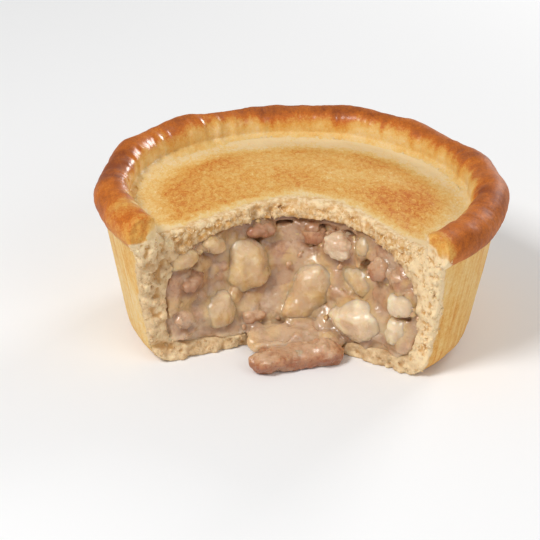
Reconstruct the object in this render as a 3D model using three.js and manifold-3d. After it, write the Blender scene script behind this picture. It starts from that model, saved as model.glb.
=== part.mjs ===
// Meat and potato pie with a wedge cut out of its front, in millimetres, +Z up.
// The pastry case with its rolled rim, the lid set down inside that rim, the gravy filling, and each lump
// of potato or meat that shows at the cut are separate solids, clear of each other by FIT_GAP.
// The origin is on the table, on the axis of the round case, and the cut faces -Y.
import * as THREE from "three";
import { ImprovedNoise } from "three/addons/math/ImprovedNoise.js";
import { mergeVertices } from "three/addons/utils/BufferGeometryUtils.js";
import Module from "manifold-3d";

const wasm = await Module();
wasm.setup();
const noise = new ImprovedNoise();
const rad = THREE.MathUtils.degToRad;

// Driving dimensions of the pastry
const RIM_DIAMETER = 110;
const PIE_HEIGHT = 44;
const ROLL_WIDTH = 9.6;
const ROLL_HEIGHT = 9.6;
const FOOT_DIAMETER = 80;
const WALL_FOOT_DIAMETER = 92; // where the sloping wall, carried straight down, would meet the table
const FOOT_ROUND_HEIGHT = 6.5;
const BASE_THICKNESS = 4;
const SEAM_RADIUS = 43.6; // where the lid meets the inside of the rim
const SEAM_HEIGHT = 36.3;
const LID_CROWN_HEIGHT = 38.6;
const FIT_GAP = 0.35;

// Driving dimensions of the space that holds the filling
const CAVITY_RADIUS = 42.8;
const CAVITY_CEILING = 33.9;
const CAVITY_FLOOR_ROUND = 8;
const CAVITY_SHOULDER = { radius: 22.8, height: 15.9 }; // ellipse from the wall up to the ceiling
const LID_SEAT_ANGLE = rad(40); // place on that ellipse where the lid's bevelled edge ends

// Driving dimensions of the cut: two arms from the rim to a rounded apex, which lies further back at the lid
const CUT = {
  leftAngle: rad(216),
  rightAngle: rad(316),
  armRadius: 50, // the arms pass through the rim here at every height
  reach: 62,
  apexLow: new THREE.Vector2(-1, -9),
  apexHigh: new THREE.Vector2(1.5, 1),
  roundLow: 24,
  roundHigh: 20,
  bottom: -3,
  top: 50,
  front: -90,
};
const RIM_OVERHANG = 3; // the torn rim and the wall under it stand out past the rest of the cut

// Unevenness of the hand-crimped rim: five slow waves round the edge, and a finer ripple
const RIM_WAVE = { count: 5, crest: rad(70), out: 0.35, up: 0.45 };
const RIM_RIPPLE = { count: 13, crest: rad(20), out: 0.18, up: 0.2 };

const ROUND_STEPS = 56;
const FILLING_STEPS = 28;
const CURVE_STEPS = 4;
const SMALLEST_STEP = 0.14;
const LUMP_DETAIL = [7, 12]; // a lump longer than each of these has a finer surface

const COLOURS = {
  crust: 0xd09a4c,
  lid: 0xd8a658,
  gravy: 0x9c7a5e,
  potato: 0xd9c08a,
  meat: 0xa8765c,
};

// Lumps that show at the cut. at: centre; size: full widths; turn: degrees about X, Y and Z;
// square: 2 is a ball and 4 nearly a dice; knobbly: share by which its surface swells and dips;
// taper: share by which its top is narrower; under: depth below the centre at which it is flattened.
const POTATOES = [
  { at: [-14.6, -10, 22], size: [11.6, 9, 15], turn: [6, -14, 30], square: 2.8, knobbly: 0.2, taper: 0.3 },
  { at: [2.6, -10, 13.4], size: [9.4, 8.4, 19], turn: [-10, 31, 24], square: 3.6, knobbly: 0.12, taper: -0.1 },
  { at: [17.3, -11.6, 18.8], size: [11, 8, 8.6], turn: [0, 12, -44], square: 3.6, knobbly: 0.12 },
  { at: [16.2, -18.4, 9.9], size: [15, 9.5, 10.6], turn: [8, -16, -40], square: 2.4, knobbly: 0.18 },
  { at: [27.4, -26, 18.8], size: [7.4, 6.4, 6.2], turn: [0, -12, -42], square: 3.4, knobbly: 0.14 },
  { at: [26.8, -25.2, 10.4], size: [7.2, 6.8, 7.8], turn: [0, 10, -44], square: 3.2, knobbly: 0.16 },
  { at: [-23, -16.2, 30.2], size: [7.4, 6, 5], turn: [0, 12, 36], square: 2.5, knobbly: 0.18 },
  { at: [-30.4, -21.6, 27.6], size: [8.6, 6, 4.8], turn: [0, -8, 36], square: 2.6, knobbly: 0.16 },
  { at: [-21.4, -16.8, 11.2], size: [9.8, 8, 8.8], turn: [6, -20, 36], square: 2.8, knobbly: 0.16 },
  { at: [17.6, -14.6, 29.4], size: [4.8, 4.6, 6.2], turn: [0, 6, -40], square: 2.4, knobbly: 0.18 },
];
const MEATS = [
  { at: [11.2, -10.4, 28.2], size: [9.2, 8, 7.8], turn: [10, 14, -36], square: 2.4, knobbly: 0.3 },
  { at: [-28.4, -20.2, 21.2], size: [8.6, 6.4, 5.4], turn: [0, -14, 36], square: 2.3, knobbly: 0.3 },
  { at: [26.4, -24.2, 25], size: [5.6, 5, 4.4], turn: [0, -10, -42], square: 2.3, knobbly: 0.28 },
  { at: [21.4, -19.8, 26], size: [6, 5.2, 6.6], turn: [0, 20, -42], square: 2.3, knobbly: 0.28 },
  { at: [3.8, -5.4, 28.6], size: [7, 5.6, 6], turn: [0, 0, 0], square: 2.3, knobbly: 0.28 },
  { at: [-10.6, -8.4, 31], size: [8, 5, 4], turn: [0, 8, 20], square: 2.3, knobbly: 0.28 },
  { at: [-12.4, -13.2, 8.4], size: [7, 6, 5.6], turn: [0, -12, 22], square: 2.3, knobbly: 0.3 },
  { at: [-30.4, -22, 11], size: [7, 6, 6.4], turn: [0, 20, 36], square: 2.3, knobbly: 0.28 },
];
// The strip of meat that has slid out over the edge of the base and lies flat on the table
const FALLEN_MEAT = { size: [25, 9, 6.4], turn: [0, 0, 18], square: 2.5, knobbly: 0.26, under: 2.7 };
FALLEN_MEAT.at = [-0.2, -26, FALLEN_MEAT.under];
// The gravy that has run down over the edge of the base behind that strip
const TONGUE = { at: [-0.8, -16.6, 2.8], size: [26, 14, 5.6], turn: [0, 0, 12], square: 2.3, knobbly: 0.3 };
TONGUE.under = TONGUE.at[2] - FIT_GAP;
// Pockets where the filling has pulled away from the pastry or between two lumps
const POCKETS = [
  { at: [20, -16.4, 24.4], size: [7, 8, 5.4], turn: [0, 0, -40], square: 2.2, knobbly: 0.12 },
  { at: [14.8, -15.6, 20.2], size: [11, 8, 7.6], turn: [0, 10, -40], square: 2.4, knobbly: 0.12 },
  { at: [29, -25.2, 24.2], size: [5.6, 7, 4.4], turn: [0, 20, -40], square: 2.2, knobbly: 0.12 },
  { at: [-7.4, -4.2, 33.2], size: [20, 8, 3], turn: [0, 0, 10], square: 2.2, knobbly: 0.12 },
];

// A geometry with only its positions, its shared corners merged and its collapsed triangles left out.
function bare(geometry) {
  const copy = geometry.clone();
  copy.deleteAttribute("normal");
  copy.deleteAttribute("uv");
  const merged = mergeVertices(copy, 1e-4);
  const corners = merged.index.array;
  const kept = [];
  for (let i = 0; i < corners.length; i += 3) {
    const [a, b, c] = corners.slice(i, i + 3);
    if (a !== b && b !== c && c !== a) kept.push(a, b, c);
  }
  return merged.setIndex(kept);
}

function toSolid(geometry) {
  const { index, attributes } = bare(geometry);
  return new wasm.Manifold(
    new wasm.Mesh({
      numProp: 3,
      vertProperties: new Float32Array(attributes.position.array),
      triVerts: new Uint32Array(index.array),
    }),
  );
}

// The largest body of a solid as a geometry, without any crumb that a cut has set loose.
function toGeometry(solid) {
  const bodies = solid.simplify(SMALLEST_STEP).decompose();
  const mesh = bodies.sort((a, b) => b.volume() - a.volume())[0].getMesh();
  const geometry = new THREE.BufferGeometry();
  geometry.setAttribute("position", new THREE.BufferAttribute(mesh.vertProperties, 3));
  geometry.setIndex(new THREE.BufferAttribute(mesh.triVerts, 1));
  geometry.computeVertexNormals();
  return geometry;
}

// Moves every corner of a geometry by a function of its place.
function reshape(geometry, place) {
  const corners = geometry.attributes.position;
  const at = new THREE.Vector3();
  for (let i = 0; i < corners.count; i++) {
    at.fromBufferAttribute(corners, i);
    place(at);
    corners.setXYZ(i, at.x, at.y, at.z);
  }
  return geometry;
}

// A profile of radius and height turned about the pie's axis.
function turned(profile, steps) {
  return new THREE.LatheGeometry(profile, steps).rotateX(Math.PI / 2);
}

// A point on the ellipse that rounds the cavity from its wall, at 0, up to its ceiling, at a quarter turn.
function shoulder(angle) {
  return new THREE.Vector2(
    CAVITY_RADIUS + CAVITY_SHOULDER.radius * (Math.cos(angle) - 1),
    CAVITY_CEILING + CAVITY_SHOULDER.height * (Math.sin(angle) - 1),
  );
}

// Both edges of the lid's bevelled seat: the lid's own, and the case's a gap further out.
function seat() {
  const lidTop = new THREE.Vector2(SEAM_RADIUS, SEAM_HEIGHT);
  const lidLow = shoulder(LID_SEAT_ANGLE);
  const slope = lidTop.clone().sub(lidLow).normalize();
  const clear = new THREE.Vector2(slope.y, -slope.x).multiplyScalar(FIT_GAP);
  return { lidTop, lidLow, caseTop: lidTop.clone().add(clear), caseLow: lidLow.clone().add(clear) };
}

function caseProfile() {
  const { caseTop, caseLow } = seat();
  const rollRadius = (RIM_DIAMETER - ROLL_WIDTH) / 2;
  const rollHeight = PIE_HEIGHT - ROLL_HEIGHT / 2;
  const rollStart = rad(-62);
  const rollEnd = rad(196);
  const wallTop = new THREE.Vector2(
    rollRadius + (ROLL_WIDTH / 2) * Math.cos(rollStart),
    rollHeight + (ROLL_HEIGHT / 2) * Math.sin(rollStart),
  );
  const wallFoot = WALL_FOOT_DIAMETER / 2;
  const footRound = wallFoot + ((wallTop.x - wallFoot) * FOOT_ROUND_HEIGHT) / wallTop.y;
  const floorEdge = CAVITY_RADIUS - CAVITY_FLOOR_ROUND;
  const wallLow = BASE_THICKNESS + CAVITY_FLOOR_ROUND;
  const path = new THREE.Path();
  path.moveTo(0, 0);
  path.lineTo(FOOT_DIAMETER / 2, 0);
  path.quadraticCurveTo(wallFoot, 0, footRound, FOOT_ROUND_HEIGHT);
  path.lineTo(wallTop.x, wallTop.y);
  path.absellipse(rollRadius, rollHeight, ROLL_WIDTH / 2, ROLL_HEIGHT / 2, rollStart, rollEnd, false);
  path.lineTo(caseTop.x, caseTop.y);
  path.lineTo(caseLow.x, caseLow.y);
  for (let step = CURVE_STEPS - 1; step >= 0; step--) {
    const point = shoulder((LID_SEAT_ANGLE * step) / CURVE_STEPS);
    path.lineTo(point.x, point.y);
  }
  path.lineTo(CAVITY_RADIUS, wallLow);
  path.quadraticCurveTo(CAVITY_RADIUS, BASE_THICKNESS, floorEdge, BASE_THICKNESS);
  path.lineTo(0, BASE_THICKNESS);
  return path.getPoints(CURVE_STEPS);
}

function lidProfile() {
  const { lidTop, lidLow } = seat();
  const path = new THREE.Path();
  path.moveTo(0, CAVITY_CEILING);
  path.lineTo(CAVITY_RADIUS - CAVITY_SHOULDER.radius, CAVITY_CEILING);
  for (let step = 1; step < CURVE_STEPS; step++) {
    const point = shoulder(THREE.MathUtils.lerp(Math.PI / 2, LID_SEAT_ANGLE, step / CURVE_STEPS));
    path.lineTo(point.x, point.y);
  }
  path.lineTo(lidLow.x, lidLow.y);
  path.lineTo(lidTop.x, lidTop.y);
  const [outer, inner] = [0.8 * SEAM_RADIUS, 0.6 * SEAM_RADIUS];
  path.bezierCurveTo(outer, SEAM_HEIGHT, inner, LID_CROWN_HEIGHT, 0, LID_CROWN_HEIGHT);
  return path.getPoints(2 * CURVE_STEPS);
}

// The cavity's own outline, drawn in towards its middle by the gap.
function fillingProfile() {
  const middle = (BASE_THICKNESS + CAVITY_CEILING) / 2;
  const narrower = 1 - FIT_GAP / CAVITY_RADIUS;
  const lower = 1 - (2 * FIT_GAP) / (CAVITY_CEILING - BASE_THICKNESS);
  const path = new THREE.Path();
  path.moveTo(0, BASE_THICKNESS);
  path.lineTo(CAVITY_RADIUS - CAVITY_FLOOR_ROUND, BASE_THICKNESS);
  path.quadraticCurveTo(CAVITY_RADIUS, BASE_THICKNESS, CAVITY_RADIUS, BASE_THICKNESS + CAVITY_FLOOR_ROUND);
  for (let step = 0; step <= 2 * CURVE_STEPS; step++) {
    const point = shoulder((Math.PI / 4) * (step / CURVE_STEPS));
    path.lineTo(point.x, point.y);
  }
  path.lineTo(0, CAVITY_CEILING);
  return path
    .getPoints(CURVE_STEPS)
    .map(({ x, y }) => new THREE.Vector2(x * narrower, middle + (y - middle) * lower));
}

// Lifts and spreads the rolled rim in uneven waves, and leaves the lid's seat and the wall as they are.
function waveRim(at) {
  const radius = Math.hypot(at.x, at.y);
  const onRoll =
    THREE.MathUtils.smoothstep(radius, SEAM_RADIUS + 1, SEAM_RADIUS + 5) *
    THREE.MathUtils.smoothstep(at.z, SEAM_HEIGHT - 4, SEAM_HEIGHT + 2);
  if (onRoll === 0) return;
  const angle = Math.atan2(at.y, at.x);
  for (const { count, crest, out, up } of [RIM_WAVE, RIM_RIPPLE]) {
    const wave = Math.cos(count * (angle - crest)) * onRoll;
    at.x *= 1 + (out * wave) / radius;
    at.y *= 1 + (out * wave) / radius;
    at.z += up * wave;
  }
}

// The line of the cut in plan at one height, from the left of the rim round the apex to the right.
// A slump under 1 makes the cut face lie further forward at its foot.
function cutLine(height, slump) {
  const rise = THREE.MathUtils.clamp(height / SEAM_HEIGHT, 0, 1) ** slump;
  const apex = CUT.apexLow.clone().lerp(CUT.apexHigh, rise);
  const round = THREE.MathUtils.lerp(CUT.roundLow, CUT.roundHigh, rise);
  const [left, right] = [CUT.leftAngle, CUT.rightAngle].map((angle) => {
    const spoke = new THREE.Vector2(Math.cos(angle), Math.sin(angle));
    const through = spoke.clone().multiplyScalar(CUT.armRadius);
    const arm = through.clone().sub(apex).normalize();
    return {
      end: through.clone().addScaledVector(arm, CUT.reach - CUT.armRadius),
      bend: apex.clone().addScaledVector(arm, round),
    };
  });
  const line = new THREE.CurvePath();
  line.add(new THREE.LineCurve(left.end, left.bend));
  line.add(new THREE.QuadraticBezierCurve(left.bend, apex, right.bend));
  line.add(new THREE.LineCurve(right.bend, right.end));
  return line;
}

// How far the cut stays short of its line at the torn rim and the wall under it.
function overhang(point, height) {
  const onRim = THREE.MathUtils.smoothstep(point.length(), SEAM_RADIUS + 0.5, SEAM_RADIUS + 5);
  return RIM_OVERHANG * onRim * THREE.MathUtils.smoothstep(height, SEAM_HEIGHT / 2, SEAM_HEIGHT);
}

// A box bent to the shape of the piece that was cut out. Its back follows the cut line at each height,
// short of it by a clearance, and is roughened by crags of a given depth and size.
function cutTool({ across, up, slump, depth, size, seed, clear = 0 }) {
  const box = bare(new THREE.BoxGeometry(1, 1, 1, across, up, 1));
  const lines = new Map();
  return toSolid(
    reshape(box, (at) => {
      const along = THREE.MathUtils.clamp(at.x + 0.5, 0, 1);
      const height = THREE.MathUtils.lerp(CUT.bottom, CUT.top, at.y + 0.5);
      const inFront = at.z > 0;
      if (!lines.has(height)) lines.set(height, cutLine(height, slump));
      const point = lines.get(height).getPointAt(along);
      const way = lines.get(height).getTangentAt(along);
      const crag = depth * noise.noise(point.x / size, point.y / size, height / size + seed);
      const deep = crag - clear - overhang(point, height);
      at.x = inFront ? 1.4 * point.x : point.x - way.y * deep;
      at.y = inFront ? CUT.front : point.y + way.x * deep;
      at.z = height;
    }),
  );
}

// A knobbly rounded block. Grow makes it bigger all round, to cut the socket that it sits in.
function lumpGeometry({ size, square, knobbly, taper = 0, under = size[2] }, seed, grow = 0) {
  const detail = 1 + LUMP_DETAIL.filter((length) => Math.max(...size) > length).length;
  const ball = bare(new THREE.IcosahedronGeometry(1, detail));
  const half = new THREE.Vector3(...size).multiplyScalar(0.5).addScalar(grow);
  return reshape(ball, (at) => {
    const swell = knobbly * noise.noise(1.7 * at.x + seed, 1.7 * at.y, 1.7 * at.z);
    const sides = at.toArray().map((side) => Math.abs(side) ** square);
    const block = (sides[0] + sides[1] + sides[2]) ** (-1 / square);
    at.multiplyScalar(block * (1 + swell));
    const narrower = 1 - taper * at.z;
    at.multiply(half).multiply(new THREE.Vector3(narrower, narrower, 1));
    at.z = Math.max(at.z, -under);
  });
}

function place(object, { at, turn }) {
  object.position.set(...at);
  object.rotation.set(...turn.map(rad));
  object.updateMatrix();
  return object;
}

function lumpMesh(name, lump, seed, material) {
  const mesh = new THREE.Mesh(lumpGeometry(lump, seed), material);
  mesh.name = name;
  return place(mesh, lump);
}

function lumpTool(lump, seed, grow) {
  const holder = place(new THREE.Object3D(), lump);
  return toSolid(lumpGeometry(lump, seed, grow).applyMatrix4(holder.matrix));
}

function namedMesh(name, geometry, material) {
  const mesh = new THREE.Mesh(geometry, material);
  mesh.name = name;
  return mesh;
}

const finish = (color, roughness) => new THREE.MeshStandardMaterial({ color, roughness, metalness: 0 });
const materials = {
  crust: finish(COLOURS.crust, 0.55),
  lid: finish(COLOURS.lid, 0.6),
  gravy: finish(COLOURS.gravy, 0.25),
  potato: finish(COLOURS.potato, 0.35),
  meat: finish(COLOURS.meat, 0.45),
};

// Every lump with the seed of its own knobbles
const potato = (lump, i) => ({ name: `potato_${i + 1}`, lump, seed: 3.7 * i, material: materials.potato });
const meat = (lump, i) => ({ name: `meat_${i + 1}`, lump, seed: 50.3 + 4.1 * i, material: materials.meat });
const strip = { name: "fallen_meat", lump: FALLEN_MEAT, seed: 120.7, material: materials.meat };
const lumps = [...POTATOES.map(potato), ...MEATS.map(meat), strip];

const pastryTear = { across: 60, up: 24, slump: 1, depth: 1.6, size: 3.6, seed: 0.5 };
const pastryCut = cutTool(pastryTear);
const fillingCut = cutTool({ across: 32, up: 13, slump: 0.6, depth: 3, size: 7, seed: 7.5 });

// The tongue of gravy stays clear of the base's top and of its torn edge.
const overBase = toSolid(
  new THREE.BoxGeometry(2 * CUT.reach, 2 * CUT.reach, PIE_HEIGHT).translate(
    0,
    0,
    BASE_THICKNESS + FIT_GAP + PIE_HEIGHT / 2,
  ),
);
const beforeBase = cutTool({
  ...pastryTear,
  across: 24,
  up: 10,
  depth: 0,
  clear: pastryTear.depth + FIT_GAP,
});
const tongue = lumpTool(TONGUE, 140.3, 0).intersect(overBase.add(beforeBase));

let caseSolid = toSolid(reshape(bare(turned(caseProfile(), ROUND_STEPS)), waveRim)).subtract(pastryCut);
let lidSolid = toSolid(turned(lidProfile(), ROUND_STEPS)).subtract(pastryCut);
let fillingSolid = toSolid(turned(fillingProfile(), FILLING_STEPS)).subtract(fillingCut);
POCKETS.forEach((pocket, i) => {
  fillingSolid = fillingSolid.subtract(lumpTool(pocket, 90.1 + 2.3 * i, 0));
});
fillingSolid = fillingSolid.add(tongue);
for (const { lump, seed } of lumps) {
  const socket = lumpTool(lump, seed, FIT_GAP);
  caseSolid = caseSolid.subtract(socket);
  lidSolid = lidSolid.subtract(socket);
  fillingSolid = fillingSolid.subtract(socket);
}

const pastry = new THREE.Group();
pastry.add(namedMesh("pastry_case", toGeometry(caseSolid), materials.crust));
pastry.add(namedMesh("pastry_lid", toGeometry(lidSolid), materials.lid));

const filling = new THREE.Group();
filling.add(namedMesh("gravy_filling", toGeometry(fillingSolid), materials.gravy));
for (const { name, lump, seed, material } of lumps) filling.add(lumpMesh(name, lump, seed, material));

const pie = new THREE.Group();
pie.add(pastry, filling);

export default pie;
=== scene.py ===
"""Dresses a meat and potato pie, cut open at the front, over its plain solids.

Pastry, gravy and lumps are shaped as signed distance fields in millimetres on even grids, roughened with
seeded noise, and turned into meshes. Crumbs and mince are scattered by geometry nodes and made real.
"""

import math
from collections import namedtuple
from functools import lru_cache, partial

import bmesh
import bpy
import numpy as np
import openvdb
from bpy.props import FloatProperty, FloatVectorProperty, PointerProperty
from mathutils import Matrix, Vector


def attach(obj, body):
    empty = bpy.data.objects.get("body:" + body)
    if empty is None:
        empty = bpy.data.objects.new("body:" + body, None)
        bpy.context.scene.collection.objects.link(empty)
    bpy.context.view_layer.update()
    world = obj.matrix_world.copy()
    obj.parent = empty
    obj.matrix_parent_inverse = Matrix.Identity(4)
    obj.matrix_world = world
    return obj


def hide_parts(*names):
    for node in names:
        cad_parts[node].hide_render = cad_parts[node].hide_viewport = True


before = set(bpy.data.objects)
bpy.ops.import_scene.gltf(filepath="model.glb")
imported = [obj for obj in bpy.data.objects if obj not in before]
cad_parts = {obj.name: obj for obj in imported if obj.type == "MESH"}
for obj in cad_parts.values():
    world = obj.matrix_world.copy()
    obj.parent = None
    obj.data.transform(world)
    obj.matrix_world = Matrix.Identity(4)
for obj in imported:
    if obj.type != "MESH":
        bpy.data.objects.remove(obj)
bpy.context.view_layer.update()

bl_info = {
    "name": "Meat and potato pie",
    "version": (1, 0, 0),
    "blender": (4, 5, 0),
    "location": "3D View > Sidebar > Pie",
    "description": "Pastry, gravy, potato and meat of a pie that has been cut open",
    "category": "Object",
}

MM = 0.001
POTATOES = sorted(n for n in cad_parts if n.startswith("potato"))
MEATS = sorted(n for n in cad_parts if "meat" in n)
STRIP = "fallen_meat"

# How much paler a lump is than others of its kind, or, below 0, how much darker
PALE_LUMPS = {
    "potato_1": -0.3,
    "potato_4": 0.7,
    "potato_5": 1.2,
    "potato_6": 0.6,
    "potato_7": -0.6,
    "potato_8": -0.6,
    "meat_1": 0.55,
    "meat_2": -0.5,
    "meat_4": 0.1,
    "meat_5": -0.3,
    "meat_6": -0.7,
    STRIP: -0.05,
}


# Settings


def length(name, description, default):
    return FloatProperty(name=name, description=description, default=default, unit="LENGTH", precision=4)


def angle(name, description, degrees):
    return FloatProperty(name=name, description=description, default=math.radians(degrees), subtype="ANGLE")


def place(name, description, default):
    return FloatVectorProperty(
        name=name, description=description, default=default, size=len(default), unit="LENGTH"
    )


def colour(name, description, default):
    return FloatVectorProperty(
        name=name, description=description, default=default, size=3, min=0, max=1, subtype="COLOR"
    )


class PieSizes(bpy.types.PropertyGroup):
    """Sizes of the pastry and of the cut"""

    rim_diameter: length("Rim", "Diameter over the rolled rim", 0.110)
    pie_height: length("Height", "Height of the top of the rim", 0.044)
    roll_width: length("Roll width", "Width of the rolled rim", 0.0096)
    roll_height: length("Roll height", "Height of the rolled rim", 0.0096)
    foot_diameter: length("Foot", "Diameter of the flat foot", 0.080)
    wall_foot_diameter: length("Wall foot", "Where the wall, carried straight down, meets the table", 0.092)
    foot_round: length("Foot round", "Height over which the foot rounds into the wall", 0.0065)
    base_thickness: length("Base", "Thickness of the base", 0.004)
    seam_radius: length("Seam radius", "Radius at which the lid meets the rim", 0.0436)
    seam_height: length("Seam height", "Height at which the lid meets the rim", 0.0363)
    lid_crown: length("Lid crown", "Height of the lid's middle", 0.0386)
    cavity_radius: length("Cavity radius", "Radius of the space for the filling", 0.0428)
    cavity_ceiling: length("Cavity ceiling", "Height of the underside of the lid", 0.0339)
    cavity_round: length("Cavity round", "Rounding of the cavity at the base", 0.008)
    shoulder_width: length("Shoulder width", "Width of the rounding under the lid", 0.0228)
    shoulder_height: length("Shoulder height", "Height of the rounding under the lid", 0.0159)
    arm_radius: length("Arm radius", "Radius at which the two arms of the cut are set", 0.050)
    left_angle: angle("Left arm", "Direction of the cut's left arm", 216)
    right_angle: angle("Right arm", "Direction of the cut's right arm", 316)
    apex_low: place("Low apex", "Point of the cut at the table", (-0.001, -0.009))
    apex_high: place("High apex", "Point of the cut at the lid", (0.0015, 0.001))
    round_low: length("Low rounding", "Rounding of the cut's point at the table", 0.024)
    round_high: length("High rounding", "Rounding of the cut's point at the lid", 0.020)
    rim_overhang: length("Rim overhang", "How far the torn rim stands out past the cut", 0.003)


class PieColours(bpy.types.PropertyGroup):
    """Colours of the pastry and of the filling"""

    cream: colour("Cream", "Skin that has hardly browned", (0.82, 0.62, 0.34))
    pale_gold: colour("Pale gold", "Lightly baked skin", (0.80, 0.53, 0.19))
    gold: colour("Gold", "Skin of the lid", (0.72, 0.37, 0.08))
    brown: colour("Brown", "Skin of the rim", (0.57, 0.155, 0.016))
    dark: colour("Dark", "Darkest patches of the rim", (0.26, 0.06, 0.012))
    crumb: colour("Crumb", "Cut pastry", (0.92, 0.71, 0.43))
    # The crumb pit colour is also painted shade in the creases of cut pastry.
    crumb_pit: colour("Crumb pit", "Pits in cut pastry", (0.62, 0.33, 0.10))
    stain: colour("Stain", "Cut pastry that has drunk gravy", (0.50, 0.28, 0.12))
    gravy: colour("Gravy", "Gravy where it is thick", (0.57, 0.37, 0.225))
    # Dark gravy is also painted shade: deep in the cut, under the lid, in creases and under lumps.
    gravy_dark: colour("Dark gravy", "Gravy in hollows", (0.26, 0.115, 0.05))
    potato: colour("Potato", "Boiled potato", (0.69, 0.44, 0.16))
    # Pale potato is also painted light on the crowns of the potatoes.
    potato_pale: colour("Pale potato", "Broken surfaces of the potato", (0.95, 0.79, 0.56))
    meat: colour("Meat", "Cooked meat", (0.585, 0.30, 0.148))
    # Dark meat is also painted shade in creases and at the foot of each lump.
    meat_dark: colour("Dark meat", "Dark grains of the meat", (0.33, 0.104, 0.038))


class PieStage(bpy.types.PropertyGroup):
    """Camera, floor and light"""

    distance: length("Distance", "From the camera to the middle of the pie", 0.5)
    elevation: angle("Elevation", "Camera angle over the table", 25.09)
    roll: angle("Roll", "Camera roll", 1.46)
    lens: FloatProperty(name="Lens", description="Focal length in millimetres", default=122.76, min=1)
    aim: place("Aim", "Middle of the pie", (0, 0, 0.022))
    offset: FloatVectorProperty(
        name="Offset",
        description="Share of the picture by which the aim lies right and up",
        default=(0.054, 0.0412),
        size=2,
    )
    floor: colour("Floor", "Colour of the floor", (0.93, 0.93, 0.93))


class PieSettings(bpy.types.PropertyGroup):
    """All settings of the pie"""

    sizes: PointerProperty(type=PieSizes)
    colours: PointerProperty(type=PieColours)
    stage: PointerProperty(type=PieStage)


Sizes = namedtuple("Sizes", PieSizes.__annotations__)


def sizes_in_mm(context):
    """All sizes in millimetres, and the angles in radians."""
    group = context.scene.pie.sizes
    found = []
    for name in Sizes._fields:
        value = getattr(group, name)
        unit = 1 if name.endswith("angle") else MM
        found.append(tuple(v / unit for v in value) if hasattr(value, "__len__") else value / unit)
    return Sizes(*found)


# Noise


def smooth(low, high, x):
    t = np.clip((x - low) / (high - low), 0, 1)
    return t * t * (3 - 2 * t)


def lattice(ix, iy, iz, seed):
    """A repeatable number from 0 to 1 for each whole-number place."""
    h = ix.astype(np.uint32) * np.uint32(374761393)
    h += iy.astype(np.uint32) * np.uint32(668265263)
    h += iz.astype(np.uint32) * np.uint32(1442695041)
    h += np.uint32((seed * 2654435761) % 2**32)
    h ^= h >> np.uint32(13)
    h *= np.uint32(1274126177)
    h ^= h >> np.uint32(16)
    h *= np.uint32(2246822519)
    h ^= h >> np.uint32(13)
    return (h / 2**32).astype(np.float32)


def noise(p, size, seed):
    """Soft noise from -1 to 1, with lumps of the given size, or sizes along each axis."""
    q = p / np.asarray(size, np.float32)
    cell = np.floor(q).astype(np.int64)
    f = (q - cell).astype(np.float32)
    w = f * f * f * (f * (f * 6 - 15) + 10)
    total = 0
    for corner in range(8):
        dx, dy, dz = corner & 1, (corner >> 1) & 1, corner >> 2
        share = np.abs(1 - dx - w[:, 0]) * np.abs(1 - dy - w[:, 1]) * np.abs(1 - dz - w[:, 2])
        total = total + share * lattice(cell[:, 0] + dx, cell[:, 1] + dy, cell[:, 2] + dz, seed)
    return 2 * total - 1


def layered(p, *layers, start=0.0):
    """Noise in layers, each given by its height, its size and its seed, on top of a start."""
    for height, size, seed in layers:
        start = start + height * noise(p, size, seed)
    return start


def cells(p, size, seed):
    """Scattered grains: distance to the nearest, in grain sizes, and that grain's own random number."""
    q = p / np.asarray(size, np.float32)
    cell = np.floor(q).astype(np.int64)
    best = np.full(len(p), 9, np.float32)
    number = np.zeros(len(p), np.float32)
    for k in range(27):
        near = cell + np.array([k % 3 - 1, k // 3 % 3 - 1, k // 9 - 1])
        draws = [lattice(near[:, 0], near[:, 1], near[:, 2], seed + 7 * a) for a in range(4)]
        away = ((near + np.stack(draws[:3], 1) - q) ** 2).sum(1)
        number = np.where(away < best, draws[3], number)
        best = np.minimum(best, away)
    return np.sqrt(best), number


def grains(p, size, seed):
    """Height over scattered grains: about -0.5 on a grain and 0.4 in the cracks between."""
    return cells(p, size, seed)[0] - 0.55


def soft_min(a, b, k):
    return np.minimum(a, b) - np.maximum(k - np.abs(a - b), 0) ** 2 / (4 * k)


def soft_max(a, b, k):
    return -soft_min(-a, -b, k)


# Fields


def radius_of(p):
    return np.hypot(p[:, 0], p[:, 1])


def angle_of(p):
    return np.arctan2(p[:, 1], p[:, 0])


class Block:
    """An even grid of places over a box, in millimetres."""

    def __init__(self, low, high, step):
        self.step = step
        self.first = np.floor(np.array(low) / step).astype(int)
        self.count = np.ceil(np.array(high) / step).astype(int) - self.first + 1
        self.x, self.y, self.z = (
            ((self.first[a] + np.arange(self.count[a])) * step).astype(np.float32) for a in range(3)
        )
        self.axes = self.x[:, None, None], self.y[None, :, None], self.z[None, None, :]

    def places(self, where):
        i, j, k = np.nonzero(where)
        return np.stack([self.x[i], self.y[j], self.z[k]], 1)

    def relief(self, field, where, shape):
        """Adds a function of place to a field, only where it matters."""
        if where.any():
            field[where] += shape(self.places(where)).astype(np.float32)


def soften(field, times):
    for _ in range(times):
        for axis in range(3):
            field = 0.5 * field + 0.25 * (np.roll(field, -1, axis) + np.roll(field, 1, axis))
    return field


def sampled(field, block, points):
    """A field's values at any places."""
    q = np.clip(points / block.step - block.first, 0, block.count - 1.001)
    cell = q.astype(int)
    f = q - cell
    total = 0
    for corner in range(8):
        d = np.array([corner & 1, (corner >> 1) & 1, corner >> 2])
        total = total + np.abs(1 - d - f).prod(1) * field[tuple((cell + d).T)]
    return total


def creases(field, block, points, low, high):
    """How deep each place lies in a crease of a field's surface, from 0 to 1."""
    return smooth(low, high, sampled(field - soften(field, 6), block, points))


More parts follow.
